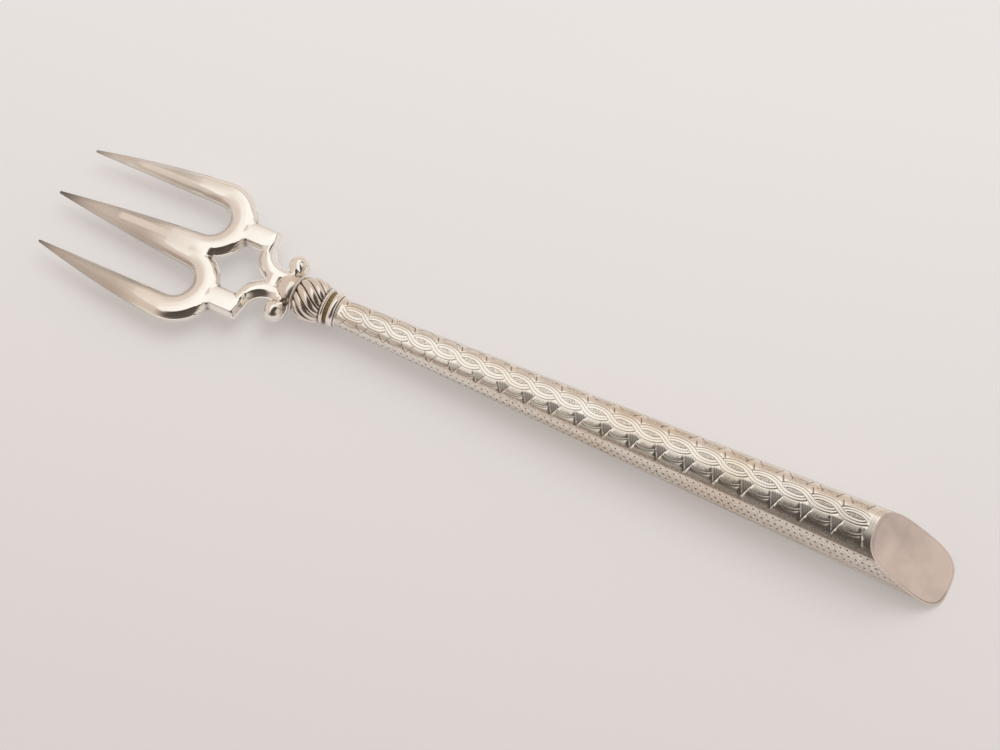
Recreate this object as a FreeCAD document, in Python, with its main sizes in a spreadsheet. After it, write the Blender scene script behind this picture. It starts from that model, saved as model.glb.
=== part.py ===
# Bread fork with a cast three-tine head, scroll brackets, a twisted knop and a hollow
# tapering handle that ends in an oblique oval plate.
# Fork axes: X runs from the tip of the middle tine to the butt, Y across the tines, Z up.
# The spreadsheet holds the driving sizes and the object called places what follows from them.

import FreeCAD
import Part
import Sketcher
import math
import os

from FreeCAD import Placement, Rotation, Vector

DRIVING_SIZES = (
    ("fork_length", 205.0),
    # Tines and the slots between them
    ("head_thickness", 3.8),
    ("tine_tip_thickness", 0.7),
    ("middle_tip_width", 0.5),
    ("middle_edge_angle", 4.9),
    ("outer_tip_setback", 2.0),
    ("outer_tip_width", 0.45),
    ("outer_edge_angle", 5.7),
    ("slot_centre_station", 32.7),
    ("slot_centre_offset", 8.05),
    ("slot_radius", 4.0),
    ("slot_bevel", 1.05),
    ("tine_root_gap", 5.7),
    # Crescents behind the slots, and the stems
    ("crescent_shift", 0.7),
    ("crescent_outset", 0.35),
    ("crescent_overlap", 0.9),
    ("edge_bevel", 0.8),
    ("stem_width", 5.5),
    # Scroll brackets and volutes, placed from the scroll's centre
    ("scroll_run", 18.6),
    ("scroll_centre_offset", 5.5),
    ("scroll_radius", 5.7),
    ("scroll_bevel", 0.6),
    ("stem_corner_lead", 3.5),
    ("hook_setback", 1.0),
    ("hook_outset", 2.1),
    ("hook_radius", 3.7),
    ("volute_setback", 3.1),
    ("volute_outset", 0.4),
    ("volute_radius", 2.15),
    ("eye_radius", 1.2),
    ("eye_rise", 0.45),
    # Knop: dome, flange, twisted barrel and collar
    ("dome_setback", 0.8),
    ("dome_length", 4.6),
    ("dome_radius", 3.45),
    ("flange_thickness", 0.8),
    ("flange_radius", 4.0),
    ("flange_bevel", 0.25),
    ("barrel_length", 6.2),
    ("barrel_radius", 4.88),
    ("barrel_end_radius", 3.9),
    ("barrel_twist", 62.0),
    ("lobe_depth", 0.62),
    ("collar_radius", 4.05),
    ("collar_thickness", 1.0),
    ("collar_bevel", 0.35),
    # Joint and ferrule at the front of the handle
    ("joint_gap", 0.6),
    ("joint_radius", 3.4),
    ("ferrule_radius", 3.8),
    ("ferrule_bevel", 0.5),
    ("ferrule_bead", 1.6),
    ("ferrule_step", 0.5),
    ("ferrule_sleeve", 3.0),
    ("ferrule_bore", 2.0),
    # Handle tube and end plate
    ("tube_wall", 0.5),
    ("front_half_width", 3.0),
    ("first_quarter_half_width", 4.08),
    ("middle_half_width", 5.06),
    ("third_quarter_half_width", 6.0),
    ("butt_half_width", 6.9),
    ("butt_half_height", 6.6),
    ("butt_squareness", 1.16),
    ("cut_run", 18.5),
    ("plate_thickness", 0.8),
    # Tang
    ("tang_radius", 1.3),
    ("tang_length", 62.0),
    ("tang_point_length", 8.0),
    ("tang_point_radius", 0.4),
    ("tang_seat", 4.5),
    ("seat_clearance", 0.05),
)

DERIVED_LENGTHS = (
    ("tine_root", "sizes.slot_centre_station - sizes.tine_root_gap"),
    ("slot_outer", "sizes.slot_centre_offset + sizes.slot_radius"),
    ("crescent_station", "sizes.slot_centre_station + sizes.crescent_shift"),
    ("crescent_offset", "sizes.slot_centre_offset + sizes.crescent_outset"),
    ("crescent_radius", "places.crescent_offset + sizes.crescent_overlap"),
    ("scroll_station", "places.crescent_station + sizes.scroll_run"),
    ("dome_tip", "places.scroll_station + sizes.dome_setback"),
    ("dome_middle", "places.dome_tip + sizes.dome_radius"),
    ("flange_start", "places.dome_tip + sizes.dome_length"),
    ("flange_end", "places.flange_start + sizes.flange_thickness"),
    ("dome_front_station", "places.dome_middle - sizes.dome_radius * cos(22.5)"),
    ("dome_front_radius", "sizes.dome_radius * sin(22.5)"),
    ("dome_slope_station", "places.dome_middle - sizes.dome_radius * cos(45)"),
    ("dome_slope_radius", "sizes.dome_radius * sin(45)"),
    ("dome_rear_station", "places.dome_middle - sizes.dome_radius * cos(67.5)"),
    ("dome_rear_radius", "sizes.dome_radius * sin(67.5)"),
    ("flange_edge", "sizes.flange_radius - sizes.flange_bevel"),
    ("flange_crown_start", "places.flange_start + sizes.flange_bevel"),
    ("flange_crown_end", "places.flange_end - sizes.flange_bevel"),
    ("barrel_end", "places.flange_end + sizes.barrel_length"),
    ("barrel_middle", "places.flange_end + sizes.barrel_length / 2"),
    ("collar_end", "places.barrel_end + sizes.collar_thickness"),
    ("collar_edge", "sizes.collar_radius - sizes.collar_bevel"),
    ("collar_crown_start", "places.barrel_end + sizes.collar_bevel"),
    ("collar_crown_end", "places.collar_end - sizes.collar_bevel"),
    ("ferrule_start", "places.collar_end + sizes.joint_gap"),
    ("ferrule_edge", "sizes.ferrule_radius - sizes.ferrule_bevel"),
    ("bead_end", "places.ferrule_start + sizes.ferrule_bead"),
    ("bead_crown_start", "places.ferrule_start + sizes.ferrule_bevel"),
    ("bead_crown_end", "places.bead_end - sizes.ferrule_bevel"),
    ("tube_start", "places.bead_end + sizes.ferrule_step"),
    ("sleeve_end", "places.tube_start + sizes.ferrule_sleeve"),
    ("sleeve_radius", "sizes.front_half_width - sizes.tube_wall - sizes.seat_clearance"),
    ("tang_start", "places.collar_end - sizes.tang_seat"),
    ("tang_shoulder", "places.tang_start + sizes.tang_length - sizes.tang_point_length"),
)

LOBE_COUNT = 12
LOBE_FACETS = 4
OVAL_STRIPS = 32
SPANS = 4
HALF_WIDTHS = (
    "front_half_width", "first_quarter_half_width", "middle_half_width",
    "third_quarter_half_width", "butt_half_width",
)
TOLERANCE = 0.01

document = FreeCAD.newDocument("bread_fork")
sheet = document.addObject("Spreadsheet::Sheet", "sizes")
for row, (alias, number) in enumerate(DRIVING_SIZES, start=1):
    sheet.set(f"A{row}", alias)
    sheet.set(f"B{row}", str(number))
    sheet.setAlias(f"B{row}", alias)
document.recompute()

places = document.addObject("App::FeaturePython", "places")
for name, expression in DERIVED_LENGTHS:
    places.addProperty("App::PropertyFloat", name)
    places.setExpression(name, expression)
places.addProperty("App::PropertyAngle", "cut_angle")
places.setExpression("cut_angle", "atan(sizes.cut_run / (2 * sizes.butt_half_height))")
document.recompute()


def size(alias):
    """Read one driving size from the sheet."""
    return float(sheet.get(alias))


def place(name):
    """Read one length that follows from the driving sizes."""
    return getattr(places, name)


def binding(name):
    """Expression that names a driving size or a derived length."""
    return f"places.{name}" if name in places.PropertiesList else f"sizes.{name}"


def value(name):
    """Number behind a driving size or a derived length."""
    return place(name) if name in places.PropertiesList else size(name)


half_thickness = size("head_thickness") / 2
slot_centre = Vector(size("slot_centre_station"), size("slot_centre_offset"), 0)
crescent_centre = Vector(place("crescent_station"), place("crescent_offset"), 0)
scroll_centre = Vector(place("scroll_station"), size("scroll_centre_offset"), 0)
hook_centre = scroll_centre + Vector(size("hook_setback"), size("hook_outset"), 0)
volute_centre = scroll_centre + Vector(size("volute_setback"), size("volute_outset"), 0)


def resting_placement():
    """Tilt the fork so that the knop and the toe of the handle both touch the table."""
    toe = Vector(size("fork_length"), 0, -size("butt_half_height"))
    rise = size("butt_half_height") - size("barrel_radius")
    tilt = math.degrees(math.atan(rise / (toe.x - place("barrel_middle"))))
    rotation = Rotation(Vector(0, 1, 0), -tilt)
    low = rotation.multVec(toe)
    return Placement(Vector(-low.x / 2, 0, -low.z), rotation)


# Smooth faces along the fork, used by the tines, the knop's lobes and the handle

def quartic(values):
    """Control values of the quartic curve through five evenly spaced values."""
    first, second, third, fourth, fifth = values
    near = (48 * second - 13 * first - 36 * third + 16 * fourth - 3 * fifth) / 12
    middle = (13 * first - 64 * second + 120 * third - 64 * fourth + 13 * fifth) / 18
    far = (48 * fourth - 13 * fifth - 36 * third + 16 * second - 3 * first) / 12
    return [first, near, middle, far, fifth]


def smooth_face(rows):
    """Face that runs smoothly through five lines or arcs, one at each station.

    Each row holds its corners with their weights: two for a line, three for an arc.
    """
    poles = []
    weights = []
    for corner in zip(*rows):
        control = quartic([weight for _, weight in corner])
        axes = [quartic([point[axis] * weight for point, weight in corner]) for axis in range(3)]
        poles.append([Vector(*spot) / weight for *spot, weight in zip(*axes, control)])
        weights.append(control)
    count = len(poles)
    surface = Part.BSplineSurface()
    surface.buildFromPolesMultsKnots(poles, (count, count), (SPANS + 1, SPANS + 1), (0, 1), (0, 1),
                                     False, False, count - 1, SPANS, weights)
    return surface.toShape()


def closed_form(sides, stations):
    """Solid between faces that close round the fork and flat ends at two stations."""
    ends = []
    for station in stations:
        rim = [edge for side in sides for edge in side.Edges
               if edge.BoundBox.XLength < TOLERANCE
               and abs(edge.BoundBox.XMin - station) < TOLERANCE]
        ends.append(Part.Face(Part.Wire(Part.__sortEdges__(rim))))
    shell = Part.makeShell(sides + ends)
    shell.sewShape()
    solid = Part.makeSolid(shell)
    if solid.Volume < 0:
        solid.reverse()
    return solid


# Cast head

def mirrored(shape):
    return shape.mirror(Vector(0, 0, 0), Vector(0, 1, 0))


def arc_between(start, end, centre):
    """Short arc from start to end about a known centre."""
    middle = (start + end) / 2 - centre
    radius = (start - centre).Length
    return Part.Arc(start, centre + middle.normalize() * radius, end).toShape()


class TineEdge:
    """Gently curved side of a tine: an arc from the tip that runs tangent into a bend."""

    def __init__(self, tip, bend_centre, bend_radius, side, edge_angle):
        angle = math.radians(edge_angle)
        outward = Vector(-side * math.sin(angle), side * math.cos(angle), 0)
        self.joint = bend_centre + outward * bend_radius
        along = self.joint - tip
        self.radius = along.dot(along) / (2 * along.dot(outward))
        self.centre = self.joint - outward * self.radius

    def at(self, station):
        """Point of the edge at a station along the fork."""
        side = 1 if self.joint.y > self.centre.y else -1
        rise = math.sqrt(self.radius ** 2 - (station - self.centre.x) ** 2)
        return Vector(station, self.centre.y + side * rise, 0)


middle_side = TineEdge(
    Vector(0, size("middle_tip_width") / 2, 0),
    slot_centre, size("slot_radius"), -1, size("middle_edge_angle"),
)
outer_side = TineEdge(
    Vector(size("outer_tip_setback"), place("slot_outer") + size("outer_tip_width"), 0),
    crescent_centre, place("crescent_radius"), 1, size("outer_edge_angle"),
)


def slab(outline):
    """Solid of the head's thickness on a flat outline, centred on the fork's axis."""
    solid = Part.Face(outline).extrude(Vector(0, 0, size("head_thickness")))
    solid.translate(Vector(0, 0, -half_thickness))
    return solid


def bevelled(solid, width, chosen):
    """Bevel those rims of the upper and lower face whose middle point is chosen."""
    rims = []
    for edge in solid.Edges:
        middle = edge.valueAt((edge.FirstParameter + edge.LastParameter) / 2)
        level = edge.BoundBox.ZLength < TOLERANCE and abs(middle.z) > half_thickness - TOLERANCE
        if level and chosen(middle):
            rims.append(edge)
    return solid.makeChamfer(width, rims)


def bevelled_disc(centre, radius, width):
    """Round boss with a bevelled rim; a negative width flares it for a cut."""
    straight = half_thickness - abs(width)
    rim = radius - width
    profile = [
        Vector(0, 0, -half_thickness),
        Vector(rim, 0, -half_thickness),
        Vector(radius, 0, -straight),
        Vector(radius, 0, straight),
        Vector(rim, 0, half_thickness),
        Vector(0, 0, half_thickness),
    ]
    face = Part.Face(Part.makePolygon(profile + profile[:1]))
    solid = face.revolve(Vector(0, 0, 0), Vector(0, 0, 1), 360)
    solid.translate(centre)
    return solid


def crescent():
    """One U-shaped crescent with the roots of the tines on both sides of its slot."""
    radius = place("crescent_radius")
    root = place("tine_root")
    slot_outer = place("slot_outer")
    half_chord = math.sqrt(radius ** 2 - crescent_centre.y ** 2)
    cusp = crescent_centre + Vector(half_chord, -crescent_centre.y, 0)
    back = crescent_centre + Vector(radius, 0, 0)
    slot_top = Vector(slot_centre.x, slot_outer, 0)
    slot_floor = slot_centre + Vector(size("slot_radius"), 0, 0)
    outer_root = outer_side.at(root)
    middle_root = middle_side.at(root)
    solid = slab(Part.Wire([
        Part.LineSegment(Vector(root, 0, 0), cusp).toShape(),
        arc_between(cusp, back, crescent_centre),
        arc_between(back, outer_side.joint, crescent_centre),
        arc_between(outer_side.joint, outer_root, outer_side.centre),
        Part.LineSegment(outer_root, Vector(root, slot_outer, 0)).toShape(),
        Part.LineSegment(Vector(root, slot_outer, 0), slot_top).toShape(),
        arc_between(slot_top, slot_floor, slot_centre),
        arc_between(slot_floor, middle_side.joint, slot_centre),
        arc_between(middle_side.joint, middle_root, middle_side.centre),
        Part.LineSegment(middle_root, Vector(root, 0, 0)).toShape(),
    ]))

    def clear_of_cuts(middle):
        return middle.x > root + TOLERANCE and middle.y > TOLERANCE

    def outside(middle):
        flat = Vector(middle.x, middle.y, 0)
        on_rim = abs((flat - crescent_centre).Length - radius) < TOLERANCE
        on_tine = abs((flat - outer_side.centre).Length - outer_side.radius) < TOLERANCE
        return clear_of_cuts(middle) and (on_rim or on_tine)

    def inside_slot(middle):
        flat = Vector(middle.x, middle.y, 0)
        on_bend = abs((flat - slot_centre).Length - size("slot_radius")) < TOLERANCE
        on_tine = abs((flat - middle_side.centre).Length - middle_side.radius) < TOLERANCE
        on_outer_tine = abs(middle.y - slot_outer) < TOLERANCE
        return clear_of_cuts(middle) and (on_bend or on_tine or on_outer_tine)

    outer_rims = bevelled(solid, size("edge_bevel"), outside)
    return bevelled(outer_rims, size("slot_bevel"), inside_slot)


def stem():
    """Straight bar behind a crescent, ended on the slant where its bracket begins."""
    inner = crescent_centre.y - size("stem_width") / 2
    outer = crescent_centre.y + size("stem_width") / 2
    slot_floor = slot_centre.x + size("slot_radius")
    start = (slot_floor + crescent_centre.x + place("crescent_radius")) / 2
    corners = [
        Vector(start, inner, 0),
        Vector(scroll_centre.x, inner, 0),
        Vector(hook_centre.x - size("hook_radius"), hook_centre.y, 0),
        Vector(scroll_centre.x - size("stem_corner_lead"), outer, 0),
        Vector(start, outer, 0),
    ]
    bar = slab(Part.makePolygon(corners + corners[:1]))
    return bevelled(bar, size("scroll_bevel"), lambda middle: middle.x > start + TOLERANCE)


def raised_eye(centre):
    """Domed eye that stands a little above the face of the volute."""
    reach = size("eye_radius")
    rise = size("eye_rise")
    radius = (reach ** 2 + rise ** 2) / (2 * rise)
    ball = Part.makeSphere(radius, centre + Vector(0, 0, half_thickness + rise - radius))
    block = Part.makeBox(4 * reach, 4 * reach, half_thickness + rise,
                         centre - Vector(2 * reach, 2 * reach, 0))
    return ball.common(block)


def scroll():
    """Bracket that hooks round behind the stem and ends in a volute with a raised eye."""
    bevel = size("scroll_bevel")
    radius = size("scroll_radius")
    limit = (hook_centre.y + volute_centre.y) / 2
    above = Part.makeBox(4 * radius, 2 * radius, size("head_thickness"),
                         Vector(scroll_centre.x - 2 * radius, limit, -half_thickness))
    band = bevelled_disc(scroll_centre, radius, bevel).cut(above)
    hook = bevelled_disc(hook_centre, size("hook_radius"), -bevel)
    bracket = band.fuse(stem()).cut(hook)
    volute = bevelled_disc(volute_centre, size("volute_radius"), bevel)
    return bracket.fuse([volute, raised_eye(volute_centre)])


def tine(root_face, width_at, centre_at, tip_station):
    """Tapering tine: the section at its root, scaled down evenly to the tip."""
    root = place("tine_root")
    root_width = root_face.BoundBox.YLength
    root_centre = root_face.BoundBox.Center.y

    def section_point(corner, share):
        station = root + (tip_station - root) * share
        thickness = 1 + (size("tine_tip_thickness") / size("head_thickness") - 1) * share
        scale = width_at(station) / root_width
        return Vector(station, centre_at(station) + (corner.y - root_centre) * scale,
                      corner.z * thickness)

    corners = [vertex.Point for vertex in root_face.OuterWire.OrderedVertexes]
    sides = []
    for start, end in zip(corners, corners[1:] + corners[:1]):
        side = smooth_face([
            [(section_point(corner, count / SPANS), 1) for corner in (start, end)]
            for count in range(SPANS + 1)
        ])
        if abs(start.z - end.z) < TOLERANCE:
            rim = [edge.Curve.toShape(edge.FirstParameter, edge.LastParameter)
                   for edge in side.Edges]
            side = Part.Face(Part.Wire(Part.__sortEdges__(rim)))
        sides.append(side)
    return closed_form(sides, (root, tip_station))


def head_casting():
    """Casting with three tines, two crescents, two stems and two scroll brackets."""
    half = crescent().fuse(scroll())
    plan = half.fuse(mirrored(half)).removeSplitter()
    slot_outer = place("slot_outer")
    tines = []
    for face in plan.Faces:
        box = face.BoundBox
        if box.XLength > TOLERANCE or abs(box.XMin - place("tine_root")) > TOLERANCE:
            continue
        side = round(box.Center.y / slot_outer)
        if side == 0:
            tines.append(tine(face, lambda at: 2 * middle_side.at(at).y, lambda at: 0, 0))
        else:
            tines.append(tine(
                face,
                lambda at: outer_side.at(at).y - slot_outer,
                lambda at, side=side: side * (outer_side.at(at).y + slot_outer) / 2,
                size("outer_tip_setback"),
            ))
    return plan.fuse(tines).removeSplitter()


# Barrel of the knop and form of the handle

def lobe_point(lobe, part, share):
    """Point at a part of a lobe's rounded back, at a share of the barrel's length.

    Half way along the barrel one lobe points straight down, where the knop rests.
    """
    swell = 1 - (2 * share - 1) ** 2
    crest = size("barrel_end_radius")
    crest += (size("barrel_radius") - size("barrel_end_radius")) * swell
    valley = crest - size("lobe_depth")
    half_pitch = math.pi / LOBE_COUNT
    half_chord = valley * math.sin(half_pitch)
    rise = crest - valley * math.cos(half_pitch)
    back_radius = (half_chord ** 2 + rise ** 2) / (2 * rise)
    back_angle = (2 * part - 1) * math.acos(1 - rise / back_radius)
    outward = crest - back_radius + back_radius * math.cos(back_angle)
    sideways = back_radius * math.sin(back_angle)
    turn = math.radians(size("barrel_twist")) * (share - 0.5) + half_pitch * (2 * lobe + 2)
    return Vector(
        place("flange_end") + size("barrel_length") * share,
        outward * math.cos(turn) - sideways * math.sin(turn),
        outward * math.sin(turn) + sideways * math.cos(turn),
    )


def twisted_barrel():
    """Barrel of the knop: rounded lobes that turn as they run from end to end."""
    sides = []
    for lobe in range(LOBE_COUNT):
        for facet in range(LOBE_FACETS):
            sides.append(smooth_face([
                [(lobe_point(lobe, (facet + step) / LOBE_FACETS, count / SPANS), 1)
                 for step in (0, 1)]
                for count in range(SPANS + 1)
            ]))
    return closed_form(sides, (place("flange_end"), place("barrel_end")))


def oval_point(turns, count, inset):
    """Point of the handle's section: round at the front, a squarish oval at the butt."""
    share = count / SPANS
    half_width = size(HALF_WIDTHS[count])
    flattening = 1 - (1 - size("butt_half_height") / size("butt_half_width")) * share
    power = 2 + size("butt_squareness") * share
    across = half_width - inset
    upright = half_width * flattening - inset
    cosine = math.cos(2 * math.pi * turns)
    sine = math.sin(2 * math.pi * turns)
    reach = (abs(cosine / across) ** power + abs(sine / upright) ** power) ** (-1 / power)
    station = place("tube_start") + (size("fork_length") - place("tube_start")) * share
    return Vector(station, reach * cosine, reach * sine)


def arc_corners(start, middle, end):
    """Corners and weights of the arc through three points."""
    chord_middle = (start + end) / 2
    rise = (middle - chord_middle).Length
    radius = ((end - start).Length ** 2 / 4 + rise ** 2) / (2 * rise)
    weight = 1 - rise / radius
    corner = chord_middle + (middle - chord_middle) * (radius / weight - radius + rise) / rise
    return [(start, 1), (corner, weight), (end, 1)]


def handle_form(inset):
    """Solid form of the whole handle, set in from its outside by a given distance.

    The outside is made of arcs; a form that is set in and out of sight has flat strips.
    """
    sides = []
    for strip in range(OVAL_STRIPS):
        rows = []
        for count in range(SPANS + 1):
            start, middle, end = [oval_point((strip + step) / OVAL_STRIPS, count, inset)
                                  for step in (0, 0.5, 1)]
            flat = [(start, 1), (end, 1)]
            rows.append(flat if inset else arc_corners(start, middle, end))
        sides.append(smooth_face(rows))
    return closed_form(sides, (place("tube_start"), size("fork_length")))


# Objects of the document

def shaped(name, shape):
    """Object for a cast or lofted form."""
    feature = document.addObject("Part::Feature", name)
    feature.Shape = shape
    return feature


def primitive(kind, name, bindings):
    """Part primitive whose sizes and place are bound to the sheet."""
    feature = document.addObject(kind, name)
    for prop, expression in bindings.items():
        feature.setExpression(prop, expression)
    return feature


def rod(name, start, length, radius):
    """Cylinder along the fork's axis."""
    feature = document.addObject("Part::Cylinder", name)
    feature.Placement = Placement(Vector(0, 0, 0), Rotation(Vector(0, 1, 0), 90))
    feature.setExpression("Placement.Base.x", start)
    feature.setExpression("Height", length)
    feature.setExpression("Radius", radius)
    return feature


def cut(name, base, tool):
    feature = document.addObject("Part::Cut", name)
    feature.Base = base
    feature.Tool = tool
    return feature


def fused(name, pieces):
    feature = document.addObject("Part::MultiFuse", name)
    feature.Shapes = pieces
    feature.Refine = True
    return feature


def common(name, base, tool):
    feature = document.addObject("Part::Common", name)
    feature.Base = base
    feature.Tool = tool
    return feature


def oblique_block(name, inset, length):
    """Block with its near face on the oblique cut, moved in by an inset."""
    block = primitive("Part::Box", name, {
        "Length": length,
        "Width": "4 * sizes.butt_half_width",
        "Height": "4 * sizes.cut_run",
    })
    block.Placement = Placement(Vector(0, 0, 0), Rotation(Vector(0, 1, 0), -45))
    block.setExpression("Placement.Rotation.Angle", "-places.cut_angle")
    block.setExpression("Placement.Base.x", "sizes.fork_length + sin(places.cut_angle) * "
                        f"sizes.cut_run - cos(places.cut_angle) * ({inset})")
    block.setExpression("Placement.Base.y", "-2 * sizes.butt_half_width")
    block.setExpression("Placement.Base.z", "-sizes.butt_half_height - cos(places.cut_angle) * "
                        f"sizes.cut_run - sin(places.cut_angle) * ({inset})")
    return block


def turned_body(name, corners):
    """Body revolved about the fork's axis from a profile with its corners bound to the sheet.

    Each corner names its station and its radius, and a radius of None lies on the axis.
    """
    body = document.addObject("PartDesign::Body", name)
    sketch = body.newObject("Sketcher::SketchObject", f"{name}_profile")
    planes = [item for item in body.Origin.OriginFeatures if item.Role == "XZ_Plane"]
    sketch.AttachmentSupport = (planes[0], [""])
    sketch.MapMode = "FlatFace"
    points = [Vector(value(station), value(radius) if radius else 0, 0)
              for station, radius in corners]
    for start, end in zip(points, points[1:] + points[:1]):
        sketch.addGeometry(Part.LineSegment(start, end))
    for index, (station, radius) in enumerate(corners):
        following = (index + 1) % len(corners)
        sketch.addConstraint(Sketcher.Constraint("Coincident", index, 2, following, 1))
        row = sketch.addConstraint(Sketcher.Constraint(
            "DistanceX", -1, 1, index, 1, points[index].x))
        sketch.setExpression(f"Constraints[{row}]", binding(station))
        if radius:
            row = sketch.addConstraint(Sketcher.Constraint(
                "DistanceY", -1, 1, index, 1, points[index].y))
            sketch.setExpression(f"Constraints[{row}]", binding(radius))
        else:
            sketch.addConstraint(Sketcher.Constraint("PointOnObject", index, 1, -1))
    revolution = body.newObject("PartDesign::Revolution", f"{name}_revolution")
    revolution.Profile = sketch
    revolution.ReferenceAxis = (sketch, ["H_Axis"])
    revolution.Angle = 360
    return body


def fork_head():
    """Head casting with a seat for the dome and flange of the knop."""
    casting = shaped("head_casting", head_casting())
    dome_seat = primitive("Part::Sphere", "dome_seat", {
        "Radius": "sizes.dome_radius + sizes.seat_clearance",
        "Placement.Base.x": "places.dome_middle",
    })
    flange_seat = rod("flange_seat", "places.flange_start - sizes.seat_clearance",
                      "sizes.flange_thickness + sizes.barrel_length",
                      "sizes.flange_radius + sizes.seat_clearance")
    return cut("fork_head", casting, fused("knop_seat", [dome_seat, flange_seat]))


def twist_knop():
    """Dome, flange, barrel of twisted lobes and collar, with a socket for the tang."""
    front = turned_body("knop_front", [
        ("dome_tip", None), ("dome_front_station", "dome_front_radius"),
        ("dome_slope_station", "dome_slope_radius"), ("dome_rear_station", "dome_rear_radius"),
        ("dome_middle", "dome_radius"), ("flange_start", "dome_radius"),
        ("flange_start", "flange_edge"), ("flange_crown_start", "flange_radius"),
        ("flange_crown_end", "flange_radius"), ("flange_end", "flange_edge"),
        ("flange_end", None),
    ])
    collar = turned_body("knop_collar", [
        ("barrel_end", None), ("barrel_end", "collar_edge"),
        ("collar_crown_start", "collar_radius"), ("collar_crown_end", "collar_radius"),
        ("collar_end", "collar_edge"), ("collar_end", None),
    ])
    barrel = shaped("knop_barrel", twisted_barrel())
    knop = fused("knop_solid", [front, barrel, collar])
    socket = rod("tang_socket", "places.tang_start - sizes.seat_clearance",
                 "2 * sizes.tang_seat", "sizes.tang_radius + sizes.seat_clearance")
    return cut("twist_knop", knop, socket)


def handle_ferrule():
    """Bevelled ring and step before the tube, with a sleeve that carries the tube."""
    return turned_body("handle_ferrule", [
        ("ferrule_start", "ferrule_bore"), ("ferrule_start", "ferrule_edge"),
        ("bead_crown_start", "ferrule_radius"), ("bead_crown_end", "ferrule_radius"),
        ("bead_end", "ferrule_edge"), ("tube_start", "ferrule_edge"),
        ("tube_start", "sleeve_radius"), ("sleeve_end", "sleeve_radius"),
        ("sleeve_end", "ferrule_bore"),
    ])


def handle_tube():
    """Sheet tube, round at the front, widening to the oblique cut."""
    outside = shaped("handle_outside", handle_form(0))
    inside = shaped("handle_inside", handle_form(size("tube_wall")))
    beyond_end = oblique_block("beyond_end", "0", "4 * sizes.cut_run")
    return cut("handle_tube", cut("handle_sheet", outside, inside), beyond_end)


def end_plate():
    """Oval plate let in flush with the oblique end of the tube."""
    outline = shaped("plate_form", handle_form(size("tube_wall") + size("seat_clearance")))
    layer = oblique_block("plate_layer", "sizes.plate_thickness", "sizes.plate_thickness")
    return common("end_plate", outline, layer)


def tang():
    """Rod from the knop into the handle, pointed at its far end."""
    shank = rod("tang_shank", "places.tang_start",
                "places.tang_shoulder - places.tang_start", "sizes.tang_radius")
    point = document.addObject("Part::Cone", "tang_point")
    point.Placement = Placement(Vector(0, 0, 0), Rotation(Vector(0, 1, 0), 90))
    point.setExpression("Placement.Base.x", "places.tang_shoulder")
    point.setExpression("Height", "sizes.tang_point_length")
    point.setExpression("Radius1", "sizes.tang_radius")
    point.setExpression("Radius2", "sizes.tang_point_radius")
    return fused("tang", [shank, point])


def resin_filling():
    """Hard filling of the handle, squeezed out as a thin band before the ferrule."""
    form = shaped("filling_form", handle_form(size("tube_wall") + size("seat_clearance")))
    back = oblique_block("filling_back", "sizes.plate_thickness + sizes.seat_clearance",
                         "4 * sizes.cut_run")
    front = rod("filling_front", "places.tube_start - sizes.ferrule_step",
                "sizes.ferrule_step + sizes.ferrule_sleeve + sizes.seat_clearance",
                "2 * sizes.front_half_width")
    body = cut("filling_body", cut("filling_behind_sleeve", form, front), back)
    neck = rod("filling_neck", "places.collar_end + sizes.seat_clearance",
               "places.sleeve_end - places.collar_end + 2 * sizes.seat_clearance",
               "sizes.ferrule_bore - sizes.seat_clearance")
    band = rod("joint_band", "places.collar_end + sizes.seat_clearance",
               "sizes.joint_gap - 2 * sizes.seat_clearance", "sizes.joint_radius")
    room = rod("tang_room", "places.tang_start", "sizes.tang_length + sizes.seat_clearance",
               "sizes.tang_radius + sizes.seat_clearance")
    return cut("resin_filling", fused("filling_solid", [body, neck, band]), room)


sub_parts = [
    fork_head(), twist_knop(), handle_ferrule(), handle_tube(), end_plate(), tang(),
    resin_filling(),
]
for sub_part in sub_parts:
    sub_part.Label = sub_part.Name
    sub_part.Placement = resting_placement()
document.recompute()

for item in document.Objects:
    if "Invalid" in item.State or "Error" in item.State:
        raise RuntimeError(f"{item.Name} did not recompute: {item.State}")
for sub_part in sub_parts:
    if sub_part.Shape.isNull() or not sub_part.Shape.isValid():
        raise RuntimeError(f"{sub_part.Label} has no valid shape")

os.makedirs("parts", exist_ok=True)
for sub_part in sub_parts:
    shape = sub_part.Shape
    box = shape.BoundBox
    print(sub_part.Label, len(shape.Solids), round(shape.Volume, 1), round(box.XLength, 2),
          round(box.YLength, 2), round(box.ZMin, 3), round(box.ZMax, 2))
    shape.exportStep(f"parts/{sub_part.Label}.step")
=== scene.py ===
# Looks of the bread fork: cast and engraved silver on a pale sheet under soft light.
# Meshes are worked out in the fork's own axes in millimetres (X from the middle tine's tip to
# the butt, Y across, Z up) and then laid in the row frame as the fork rests.

import math

import bpy
import numpy as np
from mathutils import Matrix, Vector
from mathutils.geometry import delaunay_2d_cdt


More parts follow.
